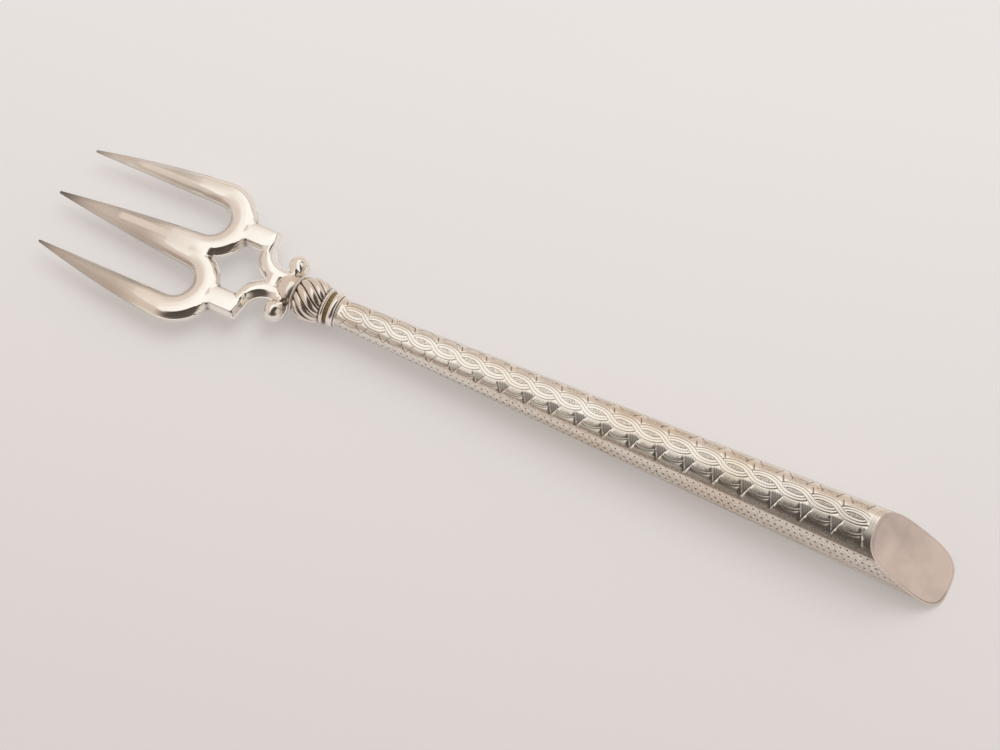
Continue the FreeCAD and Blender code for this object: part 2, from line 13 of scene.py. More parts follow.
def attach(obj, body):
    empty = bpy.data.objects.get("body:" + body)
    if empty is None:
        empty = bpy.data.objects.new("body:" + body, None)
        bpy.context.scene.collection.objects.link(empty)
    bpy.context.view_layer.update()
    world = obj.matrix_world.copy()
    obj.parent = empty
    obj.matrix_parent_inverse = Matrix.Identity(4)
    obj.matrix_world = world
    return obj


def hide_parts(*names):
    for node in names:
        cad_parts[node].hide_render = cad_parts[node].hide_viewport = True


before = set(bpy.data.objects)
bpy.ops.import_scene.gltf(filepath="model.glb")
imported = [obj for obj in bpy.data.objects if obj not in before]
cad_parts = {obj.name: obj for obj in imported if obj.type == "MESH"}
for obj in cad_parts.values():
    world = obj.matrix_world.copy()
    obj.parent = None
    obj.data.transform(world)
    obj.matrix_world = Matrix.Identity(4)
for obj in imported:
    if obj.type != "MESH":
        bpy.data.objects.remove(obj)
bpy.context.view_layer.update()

# Fork and its resting place
FORK_LENGTH = 205.0
BUTT_HALF_HEIGHT = 6.6
BARREL_RADIUS = 4.88
BARREL_MIDDLE = 61.3

# Head
HALF_THICKNESS = 1.9
TIP_HALF_THICKNESS = 0.35
THINNING_CURVE = 0.45
EDGE_REACH = 1.5
TINE_EDGE_REACH = 1.6
STEM_EDGE_REACH = 0.85
VOLUTE_EDGE_REACH = 0.9
TINE_FALL = 0.74
TINE_FALL_POWER = 1.1
BODY_FALL = 0.91
BODY_FALL_POWER = 1.65
LEAST_EDGE = 0.24
CROWN = 0.16
CROWN_WIDTH = 2.75
FACET_SLOPE = 0.2
FACET_WIDTH = 1.75
FACET_LIMIT = 1.2
SLOT_CENTRE = (32.7, 8.05)
SLOT_RADIUS = 4.0
SLOT_OUTER = SLOT_CENTRE[1] + SLOT_RADIUS
CRESCENT_CENTRE = (33.4, 8.4)
CRESCENT_RADIUS = 9.3
TINE_ROOT = 27.0
MIDDLE_TIP = (0.0, 0.25)
MIDDLE_EDGE_ANGLE = 4.9
OUTER_TIP = (2.0, 12.5)
OUTER_EDGE_ANGLE = 5.7
STEM_START = 39.0
STEM_INNER = 5.65
STEM_OUTER = 11.15
STEM_CORNER = (48.5, 11.15)
SCROLL_CENTRE = (52.0, 5.5)
SCROLL_RADIUS = 5.7
HOOK_CENTRE = (53.0, 7.6)
HOOK_RADIUS = 3.7
VOLUTE_CENTRE = (55.1, 5.9)
VOLUTE_RADIUS = 2.2
BALL_HEIGHT = 2.65
BALL_RADIUS = 2.26
HEAD_END = 58.2
HEAD_HALF_WIDTH = 18.0
HEAD_GRID = 0.22
RING_SHARES = (0.03, 0.09, 0.18, 0.3, 0.44, 0.6, 0.78, 1.0)
TINE_DULLNESS = 0.55
BEVEL_DULLNESS = 0.5
# Where along X the body, the stem, the facets and the shiny patch begin and end
BODY_RISE = (22.0, 31.0)
STEM_SPAN = ((39.5, 41.5), (47.0, 49.0))
FACET_SPAN = ((9.0, 13.0), (27.0, 31.0))
SHINY_PATCH_SPAN = ((14.4, 15.6), (26.4, 27.6))

# Knop and ferrule
DOME_MIDDLE = 56.25
DOME_RADIUS = 3.45
FLANGE_START = 57.4
FLANGE_END = 58.2
FLANGE_RADIUS = 4.0
BARREL_END = 64.4
BARREL_END_RADIUS = 3.9
BARREL_TWIST = math.radians(62.0)
LOBES = 12
LOBE_DEPTH = 0.8
LOBE_ROUNDNESS = 2.2
COLLAR_END = 65.4
COLLAR_RADIUS = 4.05
BAND_RADIUS = 3.4
FERRULE_START = 66.0
BEAD_END = 67.6
FERRULE_RADIUS = 3.8
FERRULE_EDGE = 3.3

# Handle
TUBE_START = 68.1
HALF_WIDTHS = (3.0, 4.08, 5.06, 6.0, 6.9)
SQUARENESS = 1.16
CUT_RUN = 18.5

# Engraving of the handle
FIRST_CROSSING = 69.05
FIRST_PITCH = 5.117
PITCH_GROWTH = 0.0365
CROSSINGS = 23
PATTERN_START = TUBE_START + 0.4
PATTERN_OFFSET = -0.56
PATTERN_DRIFT = 0.0117
STRAND_SWING = 1.1
STRAND_HALF_WIDTH = 0.64
EYE_HALF_LENGTH = 1.8
EYE_HALF_WIDTH = 0.38
HATCH_SPACING = 0.42
GROUND_START = 2.15
DART_APEX = 3.3
DART_GROWTH = 0.0155
CUT_WIDTH = 0.105
CUT_DEPTH = 0.035
RIM_TILT = 0.16
SAMPLE_STEP = 0.24
FINE_DOT = (0.1, 0.08)
FINE_DOT_SPACING = 0.34
DASH_ROWS = 3
DASH_SPACING = 1.45
FIRST_DASH = (0.27, 0.21)
DASH = (0.38, 0.26)
DASH_LEAN = 0.35
WAVE = 0.16
WAVE_LENGTH = 1.4
BEAD = 0.11
BEAD_SPACING = 0.42
BEADED_EDGE = 1.7
SKIN_STEP = 0.5

MILLIMETRE = 0.001


# Helpers

def resting_matrix():
    """Fork axes in millimetres to the row frame in metres."""
    rise = BUTT_HALF_HEIGHT - BARREL_RADIUS
    tilt = math.atan(rise / (FORK_LENGTH - BARREL_MIDDLE))
    turn = Matrix.Rotation(-tilt, 4, "Y")
    toe = turn @ Vector((FORK_LENGTH, 0, -BUTT_HALF_HEIGHT))
    place = Matrix.Translation(Vector((-toe.x / 2, 0, -toe.z)))
    return Matrix.Scale(MILLIMETRE, 4) @ place @ turn


TO_ROW = np.array(resting_matrix())


def add_piece(name, points, faces, material, normals=None, attributes=None, node=None):
    """Mesh piece from points in fork axes, laid in the row frame and riding on the body."""
    points = np.asarray(points, float)
    placed = points @ TO_ROW[:3, :3].T + TO_ROW[:3, 3]
    mesh = bpy.data.meshes.new(name)
    mesh.from_pydata(placed.tolist(), [], faces)
    for label, values in (attributes or {}).items():
        layer = mesh.attributes.new(label, "FLOAT", "POINT")
        layer.data.foreach_set("value", np.asarray(values, np.float32))
    mesh.materials.append(material)
    mesh.shade_smooth()
    if normals is not None:
        outward = np.asarray(normals, float) @ TO_ROW[:3, :3].T
        outward /= np.linalg.norm(outward, axis=1)[:, None]
        mesh.normals_split_custom_set_from_vertices(outward.tolist())
    mesh.validate()
    piece = bpy.data.objects.new(name, mesh)
    bpy.context.scene.collection.objects.link(piece)
    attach(piece, "root")
    if node:
        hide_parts(node)
    return piece


def distance(x, y, centre):
    return np.hypot(x - centre[0], y - centre[1])


def smooth_step(value, low, high):
    share = np.clip((value - low) / (high - low), 0, 1)
    return share * share * (3 - 2 * share)


def blend(first, second, share):
    return first + (second - first) * share


def window(value, rise, fall):
    """1 between the two ranges and 0 outside them, with a soft step over each range."""
    return smooth_step(value, *rise) * (1 - smooth_step(value, *fall))


def run_lengths(stations, arcs):
    """Distance of each point of a line from its start."""
    return np.concatenate([[0], np.cumsum(np.hypot(np.diff(stations), np.diff(arcs)))])


def ring_faces(rings, count):
    """Faces between rings of points that follow each other."""
    faces = []
    for start in range(0, (rings - 1) * count, count):
        for place in range(start, start + count):
            after = start + (place + 1 - start) % count
            faces.append([place, place + count, after + count, after])
    return faces


# Materials

STIPPLE_BROWN = (0.40, 0.33, 0.275)
TARNISH_AND_SHADE_BLACK = (0.035, 0.028, 0.024)
SHEET_GLOW = 0.32


class Shading:
    """Nodes of a material or world, each made and linked in one call."""

    def __init__(self, tree):
        self.nodes = tree.nodes
        self.links = tree.links

    def add(self, kind, inputs=None, **settings):
        """Node with its settings; its inputs are sockets, numbers or colours."""
        node = self.nodes.new("ShaderNode" + kind)
        for name, setting in settings.items():
            setattr(node, name, setting)
        for key, item in (inputs or {}).items():
            self.feed(node.inputs[key], item)
        return node

    def feed(self, socket, item):
        if isinstance(item, bpy.types.NodeSocket):
            self.links.new(item, socket)
        elif socket.type == "RGBA":
            socket.default_value = (*item, 1)
        else:
            socket.default_value = item

    def attribute(self, name):
        return self.add("Attribute", attribute_name=name).outputs["Fac"]

    def axes(self, coordinates):
        place = self.add("TexCoord").outputs[coordinates]
        return self.add("SeparateXYZ", {0: place}).outputs

    def noise(self, place, scale, detail, roughness=0.5):
        return self.add("TexNoise", {"Vector": place, "Scale": scale, "Detail": detail,
                                     "Roughness": roughness}).outputs["Fac"]

    def value(self, operation, *items):
        return self.add("Math", dict(enumerate(items)), operation=operation).outputs[0]

    def ramp(self, item, low, high, shape="SMOOTHSTEP"):
        """Rise from 0 to 1 between two values."""
        return self.add("MapRange", {"Value": item, "From Min": low, "From Max": high},
                        interpolation_type=shape).outputs["Result"]

    def band(self, item, low, high, soft):
        """1 between low and high, with soft edges."""
        rise = self.ramp(item, low - soft, low + soft)
        fall = self.ramp(item, high - soft, high + soft)
        return self.value("SUBTRACT", rise, fall)

    def mix(self, factor, first, second):
        return self.add("Mix", {"Factor": factor, "A": first, "B": second},
                        data_type="RGBA").outputs["Result"]

    def mix_shaders(self, factor, first, second):
        return self.add("MixShader", {0: factor, 1: first, 2: second}).outputs["Shader"]

    def glow(self, colour):
        return self.add("Emission", {"Color": colour}).outputs["Emission"]


def new_material(name):
    material = bpy.data.materials.new(name)
    material.use_nodes = True
    kit = Shading(material.node_tree)
    return material, kit, kit.nodes["Principled BSDF"]


def silver(name, base, tarnish, roughness, dull=0.0, patches=60.0, grain=2600.0, even=0.0):
    """Worn polished silver: soft tarnish in patches, fine scratches, dark in crevices and painted
    shade.
    """
    material, kit, shader = new_material(name)
    shader.inputs["Metallic"].default_value = 1.0
    place = kit.add("TexCoord").outputs["Object"]
    depth = kit.attribute("tarnish")
    ground = kit.attribute("ground")

    cloud = kit.ramp(kit.noise(place, patches, 4.0, 0.55), 0.42, 0.72, "LINEAR")
    tint = kit.mix(cloud, base, tarnish)
    stipple = kit.ramp(kit.noise(place, grain, 1.0), 0.35 - even, 0.65, "LINEAR")
    brown = kit.mix(kit.value("MULTIPLY", ground, stipple), tint, STIPPLE_BROWN)
    # The tarnish attribute darkens towards black: tarnish in crevices and grooves, and painted
    # shade and reflection at the tine tips, the near tines' edges and the plate's joint.
    kit.feed(shader.inputs["Base Color"], kit.mix(depth, brown, TARNISH_AND_SHADE_BLACK))

    scratches = kit.noise(place, 900.0, 3.0)
    polish = kit.add("MapRange", {"Value": scratches, "To Min": roughness * 0.75,
                                  "To Max": roughness * 1.35 + dull}).outputs["Result"]
    matte = kit.value("MULTIPLY_ADD", depth, 0.35, polish)
    kit.feed(shader.inputs["Roughness"], kit.value("MULTIPLY_ADD", ground, 0.17, matte))
    bump = kit.add("Bump", {"Strength": 0.05, "Distance": 0.00002, "Height": scratches})
    kit.feed(shader.inputs["Normal"], bump.outputs["Normal"])
    return material


def resin():
    """Ochre filling that shows as a band in the joint."""
    material, kit, shader = new_material("ochre_resin")
    shader.inputs["Roughness"].default_value = 0.6
    grain = kit.add("TexNoise", {"Scale": 700.0}).outputs["Fac"]
    colour = kit.mix(grain, (0.30, 0.21, 0.08), (0.12, 0.075, 0.03))
    kit.feed(shader.inputs["Base Color"], colour)
    return material


def sheet_of_paper():
    """Pale sheet that the fork lies on; a painted fall-off of light makes it a little darker
    towards one corner.
    """
    material, kit, shader = new_material("pale_sheet")
    shader.inputs["Roughness"].default_value = 0.9
    shader.inputs["Specular IOR Level"].default_value = 0.1
    place = kit.add("TexCoord").outputs["Object"]
    # Painted shade: the sheet's colour and its glow fall off towards the near side, as the light
    # does.
    along = kit.add("VectorMath", {0: place, 1: (-0.3, 0.95, 0)}, operation="DOT_PRODUCT")
    painted_falloff = kit.ramp(along.outputs["Value"], 0.08, -0.08, "LINEAR")
    tone = kit.mix(painted_falloff, (0.93, 0.945, 0.97), (0.85, 0.85, 0.87))
    kit.feed(shader.inputs["Base Color"], tone)
    # Part of the sheet's brightness is its own, so that the shadows stay light
    glow = kit.glow(kit.mix(painted_falloff, (0.85, 0.82, 0.81), (0.74, 0.69, 0.67)))
    path = kit.add("LightPath").outputs
    seen = kit.value("MAXIMUM", path["Is Camera Ray"], path["Is Glossy Ray"])
    share = kit.value("MULTIPLY", seen, SHEET_GLOW)
    surface = kit.mix_shaders(share, shader.outputs["BSDF"], glow)
    kit.feed(kit.nodes["Material Output"].inputs["Surface"], surface)
    return material


CAST_SILVER = silver("cast_silver", (0.97, 0.945, 0.90), (0.91, 0.84, 0.75), 0.15,
                     grain=90.0, even=0.75)
KNOP_SILVER = silver("knop_silver", (0.94, 0.90, 0.85), (0.84, 0.76, 0.68), 0.17)
SHEET_SILVER = silver("engraved_silver", (0.92, 0.87, 0.80), (0.86, 0.76, 0.63), 0.14)
PLATE_SILVER = silver("dull_silver", (0.85, 0.775, 0.73), (0.63, 0.565, 0.55), 0.32, 0.08, 100.0)


# Cast head: a rounded form over its plan, from the distance to the plan's edge

class Bend:
    """Long arc of a tine's side, running tangent into the bend behind it."""

    def __init__(self, tip, bend_centre, bend_radius, side, degrees):
        angle = math.radians(degrees)
        outward = np.array([-side * math.sin(angle), side * math.cos(angle)])
        self.joint = np.array(bend_centre) + outward * bend_radius
        along = self.joint - np.array(tip)
        self.radius = along @ along / (2 * along @ outward)
        self.centre = self.joint - outward * self.radius

    def inside(self, x, y):
        """Distance inward from the arc, on the side of its centre."""
        return abs(self.radius) - distance(x, y, self.centre)


MIDDLE_SIDE = Bend(MIDDLE_TIP, SLOT_CENTRE, SLOT_RADIUS, -1, MIDDLE_EDGE_ANGLE)
OUTER_SIDE = Bend(OUTER_TIP, CRESCENT_CENTRE, CRESCENT_RADIUS, 1, OUTER_EDGE_ANGLE)


def body_depth(x, y):
    """Distance into the tines and crescents from their edge."""
    bend = CRESCENT_RADIUS - distance(x, y, CRESCENT_CENTRE)
    outer = np.where(x < OUTER_SIDE.joint[0], OUTER_SIDE.inside(x, y), bend)
    slot_end = distance(x, y, SLOT_CENTRE) - SLOT_RADIUS
    middle = np.minimum(MIDDLE_SIDE.inside(x, y), x - MIDDLE_TIP[0])
    outer_tine = np.minimum(y - SLOT_OUTER, x - OUTER_TIP[0])
    beside_slot = np.maximum(middle, outer_tine)
    straight = np.where(y < SLOT_CENTRE[1], MIDDLE_SIDE.joint[0], SLOT_CENTRE[0])
    slot = np.where(x < straight, beside_slot, slot_end)
    return np.minimum(outer, slot)


def stem_depth(x, y):
    """Distance into the stem, which ends on a slant beside the hook."""
    end = np.array([HOOK_CENTRE[0] - HOOK_RADIUS, HOOK_CENTRE[1]])
    slant = end - np.array(STEM_CORNER)
    slant /= np.linalg.norm(slant)
    beyond = (x - STEM_CORNER[0]) * slant[1] - (y - STEM_CORNER[1]) * slant[0]
    sides = np.minimum(y - STEM_INNER, STEM_OUTER - y)
    ends = np.minimum(x - STEM_START, np.where(y > HOOK_CENTRE[1], beyond, 9.0))
    return np.minimum(np.minimum(sides, ends), SCROLL_CENTRE[0] - x)


def scroll_depth(x, y):
    """Distance into the bracket behind the stem, with the volute at its end."""
    band = SCROLL_RADIUS - distance(x, y, SCROLL_CENTRE)
    band = np.minimum(band, (HOOK_CENTRE[1] + VOLUTE_CENTRE[1]) / 2 - y)
    bracket = np.maximum(band, stem_depth(x, y))
    bracket = np.minimum(bracket, distance(x, y, HOOK_CENTRE) - HOOK_RADIUS)
    volute = VOLUTE_RADIUS - distance(x, y, VOLUTE_CENTRE)
    return np.maximum(bracket, volute)


def plan_depth(x, y):
    """Signed distance into the head's plan, positive inside; the head is symmetric."""
    y = np.abs(y)
    return np.maximum(body_depth(x, y), scroll_depth(x, y))


def half_thickness(x):
    """The tines thin down towards their tips in a soft curve."""
    share = np.clip(x / TINE_ROOT, 0, 1)
    curve = blend(share, np.sin(share * math.pi / 2), THINNING_CURVE)
    return blend(TIP_HALF_THICKNESS, HALF_THICKNESS, curve)


def head_height(x, y):
    """Height of the upper surface over the head's middle plane: sloping edges, low crown."""
    depth = np.maximum(plan_depth(x, y), 0)
    thickness = half_thickness(x)
    body = smooth_step(x, *BODY_RISE)
    on_stem = window(x, *STEM_SPAN)
    on_volute = 1 - smooth_step(distance(x, np.abs(y), VOLUTE_CENTRE), 1.9, 2.6)
    reach = blend(TINE_EDGE_REACH, EDGE_REACH, body)
    reach = reach - (EDGE_REACH - STEM_EDGE_REACH) * on_stem
    reach = reach - (EDGE_REACH - VOLUTE_EDGE_REACH) * on_volute
    short = np.clip(1 - depth / reach, 0, 1)
    fall = blend(TINE_FALL, BODY_FALL, body) * short ** blend(
        TINE_FALL_POWER, BODY_FALL_POWER, body)
    crown = CROWN * smooth_step(x, 24.0, 32.0) * np.clip(1 - depth / CROWN_WIDTH, 0, 1) ** 2
    height = thickness * (1 - crown) * (1 - fall)
    height = np.maximum(height - slot_facet(x, y), LEAST_EDGE * thickness)
    return np.maximum(height, volute_ball(x, np.abs(y)))


def slot_facet(x, y):
    """Flat facet along the slot side of the outer tines."""
    across = np.abs(y)
    along = window(x, *FACET_SPAN)
    drop = np.clip(FACET_WIDTH - (across - SLOT_OUTER), 0, FACET_LIMIT)
    return FACET_SLOPE * along * (across > SLOT_CENTRE[1]) * drop


def volute_ball(x, y):
    """Upper surface of the ball in which each scroll ends."""
    share = distance(x, y, VOLUTE_CENTRE) / BALL_RADIUS
    return BALL_HEIGHT * np.sqrt(np.clip(1 - share ** 2, 0, 1))


def gradient(function, x, y, step=0.02):
    along = (function(x + step, y) - function(x - step, y)) / (2 * step)
    across = (function(x, y + step) - function(x, y - step)) / (2 * step)
    return along, across


def traced_edge():
    """Closed outlines of the plan: cells of a grid that cross the edge, joined into loops."""
    step = HEAD_GRID
    xs = np.arange(-0.5, HEAD_END + 1, step)
    # A small shift, so that no point of the grid falls just on an edge
    half_width = HEAD_HALF_WIDTH + 0.4
    ys = np.arange(-half_width, half_width + step, step) + 0.013
    grid = plan_depth(xs[:, None], ys[None, :])
    inside = grid > 0
    crossings = {}
    points = []

    def crossing(i, j, di, dj):
        key = (i, j, di)
        if key not in crossings:
            first = grid[i, j]
            share = first / (first - grid[i + di, j + dj])
            crossings[key] = len(points)
            points.append((xs[i] + share * step * di, ys[j] + share * step * dj))
        return crossings[key]

    follow = {}
    rows, columns = np.nonzero(
        (inside[:-1, :-1] != inside[1:, :-1]) | (inside[:-1, :-1] != inside[:-1, 1:])
        | (inside[1:, 1:] != inside[1:, :-1]) | (inside[1:, 1:] != inside[:-1, 1:]))
    for i, j in zip(rows.tolist(), columns.tolist()):
        corners = [(i, j), (i + 1, j), (i + 1, j + 1), (i, j + 1)]
        starts = []
        ends = []
        for count, corner in enumerate(corners):
            following = corners[(count + 1) % 4]
            if inside[corner] == inside[following]:
                continue
            low = min(corner, following)
            high = max(corner, following)
            point = crossing(*low, high[0] - low[0], high[1] - low[1])
            (starts if inside[corner] else ends).append(point)
        for start, end in zip(starts, ends):
            follow[start] = end
    loops = []
    while follow:
        start, current = follow.popitem()
        loop = [start]
        while current != start:
            loop.append(current)
            current = follow.pop(current)
        loops.append(loop)
    return np.array(points), loops


def head_points():
    """Points of the plan: the traced edge first, then rings near it and an inner grid."""
    edge, loops = traced_edge()
    gx, gy = gradient(plan_depth, edge[:, 0], edge[:, 1])
    norm = np.maximum(np.hypot(gx, gy), 0.2)
    depth = plan_depth(edge[:, 0], edge[:, 1])
    edge = edge - np.stack([gx, gy], 1) * (depth / norm ** 2)[:, None]
    inward = np.stack([gx, gy], 1) / norm[:, None]
    layers = [edge]
    for share in RING_SHARES:
        wanted = share * EDGE_REACH
        moved = edge + inward * wanted
        reached = plan_depth(moved[:, 0], moved[:, 1])
        layers.append(moved[np.abs(reached - wanted) < 0.04 * wanted + 0.01])
    step = HEAD_GRID
    xs, ys = np.meshgrid(np.arange(0, HEAD_END, step),
                         np.arange(-HEAD_HALF_WIDTH, HEAD_HALF_WIDTH, step), indexing="ij")
    ys = ys + (np.round(xs / step) % 2) * step / 2
    grid = np.stack([xs.ravel(), ys.ravel()], 1)
    depth = plan_depth(grid[:, 0], grid[:, 1])
    layers.append(grid[depth > EDGE_REACH + step / 2])
    return np.concatenate(layers), loops


def fork_head():
    """Head casting: rounded upper and lower surface joined by upright walls."""
    plan, loops = head_points()
    corners = [Vector(point) for point in plan.tolist()]
    vertices, _, faces, *_ = delaunay_2d_cdt(corners, [], loops, 2, 1e-6)
    plan = np.array([vertex[:] for vertex in vertices])
    x, y = plan[:, 0], plan[:, 1]
    centres = plan[np.array([face[:3] for face in faces])].mean(1)
    kept = plan_depth(centres[:, 0], centres[:, 1]) > 0
    faces = [list(face) for face, keep in zip(faces, kept) if keep]
    height = head_height(x, y)
    slope_x, slope_y = gradient(head_height, x, y)
    normals = np.stack([-slope_x, -slope_y, np.ones_like(x)], 1)
    edge_x, edge_y = gradient(plan_depth, x, y)
    on_edge = plan_depth(x, y) < 0.02
    normals[on_edge] = np.stack([-edge_x, -edge_y, 0 * x], 1)[on_edge]
    count = len(x)
    points = np.concatenate([np.stack([x, y, height], 1), np.stack([x, y, -height], 1)])
    normals = np.concatenate([normals, normals * np.array([1, 1, -1])])
    lower = [[corner + count for corner in reversed(face)] for face in faces]
    edges = dict.fromkeys(edge for face in faces for edge in zip(face, face[1:] + face[:1]))
    walls = [[second, first, first + count, second + count]
             for first, second in edges if (second, first) not in edges]
    # Painted reflection: the tine tips are darkened towards their ends, as if they mirrored dark
    # surroundings; this goes into the tarnish attribute.
    tips = 1 - smooth_step(x, 0, 8)
    tarnish = np.clip(0.6 * tips + head_tarnish_and_shade(x, y), 0, 1)
    dull = tine_dullness(x, y)
    attributes = {"tarnish": np.concatenate([tarnish, tarnish]),
                  "ground": np.concatenate([dull, dull])}
    return add_piece("head", points, faces + lower + walls, CAST_SILVER, normals, attributes,
                     "fork_head")


def tine_dullness(x, y):
    """The tines and the slots' bevels are duller than the crescents, save a shiny patch and a
    painted highlight.
    """
    across = np.abs(y)
    beside = np.where(across < SLOT_CENTRE[1], plan_depth(x, y), across - SLOT_OUTER)
    round_end = distance(x, across, SLOT_CENTRE) - SLOT_RADIUS
    from_slot = np.where(x < SLOT_CENTRE[0], beside, round_end)
    dull = TINE_DULLNESS * (1 - smooth_step(x, 21.0, 31.0))
    bevel = BEVEL_DULLNESS * (1 - smooth_step(from_slot, 0.75, 0.95)) * smooth_step(x, 15.0, 24.0)
    # Painted highlight: only the far tine's facet is left polished and free of brown; the near
    # tine's facet stays dull.
    far_facet_highlight = window(y - SLOT_OUTER, (0.75, 0.95), (1.6, 2.1)) * smooth_step(x, 11.0, 14.0)
    patch = (1 - smooth_step(np.abs(y - 0.2), 0.6, 1.0)) * window(x, *SHINY_PATCH_SPAN)
    return np.maximum(dull, bevel) * (1 - np.maximum(patch, far_facet_highlight))


def head_tarnish_and_shade(x, y):
    """Dark round the balls, in corners, beside the knop and along the tines' edges: tarnish and
    painted shade.
    """
    # Painted shade: the edges of the middle and near tines are darkened, those of the far tine
    # are not.
    edges = 0.1 * (1 - smooth_step(plan_depth(x, y), 0.75, 1.15)) * (y < SLOT_CENTRE[1])
    edges = edges * (1 - smooth_step(x, 25.0, 30.0))
    across = np.abs(y)
    # No groove is cut round the balls: a dark ring painted in its place stands for its shade and
    # its tarnish.
    round_ball = (distance(x, across, VOLUTE_CENTRE) - 1.75) / 0.16
    groove = np.exp(-round_ball ** 2) * (scroll_depth(x, across) > 0.75)
    near_knop = smooth_step(x, 56.0, 57.4) * (1 - smooth_step(across, 2.0, 4.4))
    from_corner = np.abs(body_depth(x, across)) + np.abs(scroll_depth(x, across))
    return 0.85 * groove + 0.7 * near_knop + 0.7 * np.exp(-from_corner / 0.35) + edges


# Knop, rings and resin band, turned about the fork's axis

def turned(name, profile, material, node=None, wall=None, tarnish=None, segments=96):
    """Piece swept about the axis; wall may change the radius round and along the piece."""
    profile = np.asarray(profile, float)
    angles = np.linspace(0, 2 * math.pi, segments, endpoint=False)
    stations, around = np.meshgrid(profile[:, 0], angles, indexing="ij")
    radii = np.repeat(profile[:, 1][:, None], segments, 1)
    dark = np.zeros_like(radii) if tarnish is None else tarnish(stations, around)
    if wall is not None:
        radii = wall(stations, radii, around)
    points = np.stack([stations, radii * np.cos(around), radii * np.sin(around)], -1)
    faces = ring_faces(len(profile), segments)
    return add_piece(name, points.reshape(-1, 3), faces, material, None,
                     {"tarnish": dark.ravel()}, node)


def rounded(start, end, foot, top, count=13):
    """Profile of a rounded ring between two stations, standing on a foot radius."""
    angle = np.linspace(0, math.pi, count)
    half = (end - start) / 2
    reach = np.sin(angle) ** 0.8
    return list(zip(start + half - half * np.cos(angle), foot + (top - foot) * reach))


def lobe_phase(station, angle):
    """Position across the strands, 0 at a crest and 1 in the valley between two."""
    share = (station - FLANGE_END) / (BARREL_END - FLANGE_END)
    turn = BARREL_TWIST * (share - 0.5)
    return np.abs(np.mod((angle - turn) * LOBES / (2 * math.pi) + 0.5, 1) * 2 - 1)


def barrel_radius(station):
    share = np.clip((station - FLANGE_END) / (BARREL_END - FLANGE_END), 0, 1)
    swell = 1 - (2 * share - 1) ** 2
    return BARREL_END_RADIUS + (BARREL_RADIUS - BARREL_END_RADIUS) * swell


def strands(station, radius, angle):
    """Round strands with narrow valleys, fading into the rings at both ends."""
    phase = lobe_phase(station, angle)
    profile = 1 - np.sqrt(np.clip(1 - phase ** LOBE_ROUNDNESS, 0, 1))
    return radius - LOBE_DEPTH * profile


def strand_tarnish(station, angle):
    ends = np.minimum(station - FLANGE_END, BARREL_END - station)
    rim = 1 - smooth_step(ends, 0.0, 0.35)
    return np.clip(0.9 * smooth_step(lobe_phase(station, angle), 0.8, 1.0) + 0.6 * rim, 0, 1)


def side_tarnish(start, end, inner, outer):
    """Tarnish at both sides of a ring, away from its middle."""
    middle = (start + end) / 2
    return lambda at, angle: 0.6 * smooth_step(np.abs(at - middle), inner, outer)


def twist_knop():
    """Dome, flange, barrel of strands and collar."""
    nose = np.linspace(0, math.pi / 2 + 0.33, 20)
    dome = list(zip(DOME_MIDDLE - DOME_RADIUS * np.cos(nose), DOME_RADIUS * np.sin(nose)))
    turned("knop_dome", dome, KNOP_SILVER, "twist_knop",
           tarnish=lambda at, angle: 0.5 * smooth_step(at, FLANGE_START - 0.5, FLANGE_START))
    flange = rounded(FLANGE_START, FLANGE_END, 3.1, FLANGE_RADIUS)
    turned("knop_flange", flange, KNOP_SILVER,
           tarnish=side_tarnish(FLANGE_START, FLANGE_END, 0.28, 0.4))
    stations = np.linspace(FLANGE_END - 0.1, BARREL_END + 0.1, 90)
    barrel = list(zip(stations, barrel_radius(stations)))
    turned("knop_strands", barrel, KNOP_SILVER, None, strands, strand_tarnish, 480)
    collar = rounded(BARREL_END, COLLAR_END, 3.3, COLLAR_RADIUS)
    turned("knop_collar", collar, KNOP_SILVER,
           tarnish=side_tarnish(BARREL_END, COLLAR_END, 0.36, 0.5))


def ferrule():
    """Rounded ring and the thin step before the tube, with the resin band before it."""
    bead = rounded(FERRULE_START, BEAD_END, 3.15, FERRULE_RADIUS, 17)
    step = rounded(BEAD_END, TUBE_START, 3.0, FERRULE_EDGE + 0.1, 9)
    turned("ferrule_ring", bead + step, CAST_SILVER, "handle_ferrule",
           tarnish=lambda at, angle: 0.7 * (smooth_step(at, BEAD_END - 0.12, BEAD_END)
                                            - smooth_step(at, BEAD_END, BEAD_END + 0.12)))
    groove = [(COLLAR_END - 0.1, BAND_RADIUS), (FERRULE_START + 0.1, BAND_RADIUS)]
    band = turned("resin_band", groove, resin(), segments=64)


# Handle: section, unrolled surface and engraving

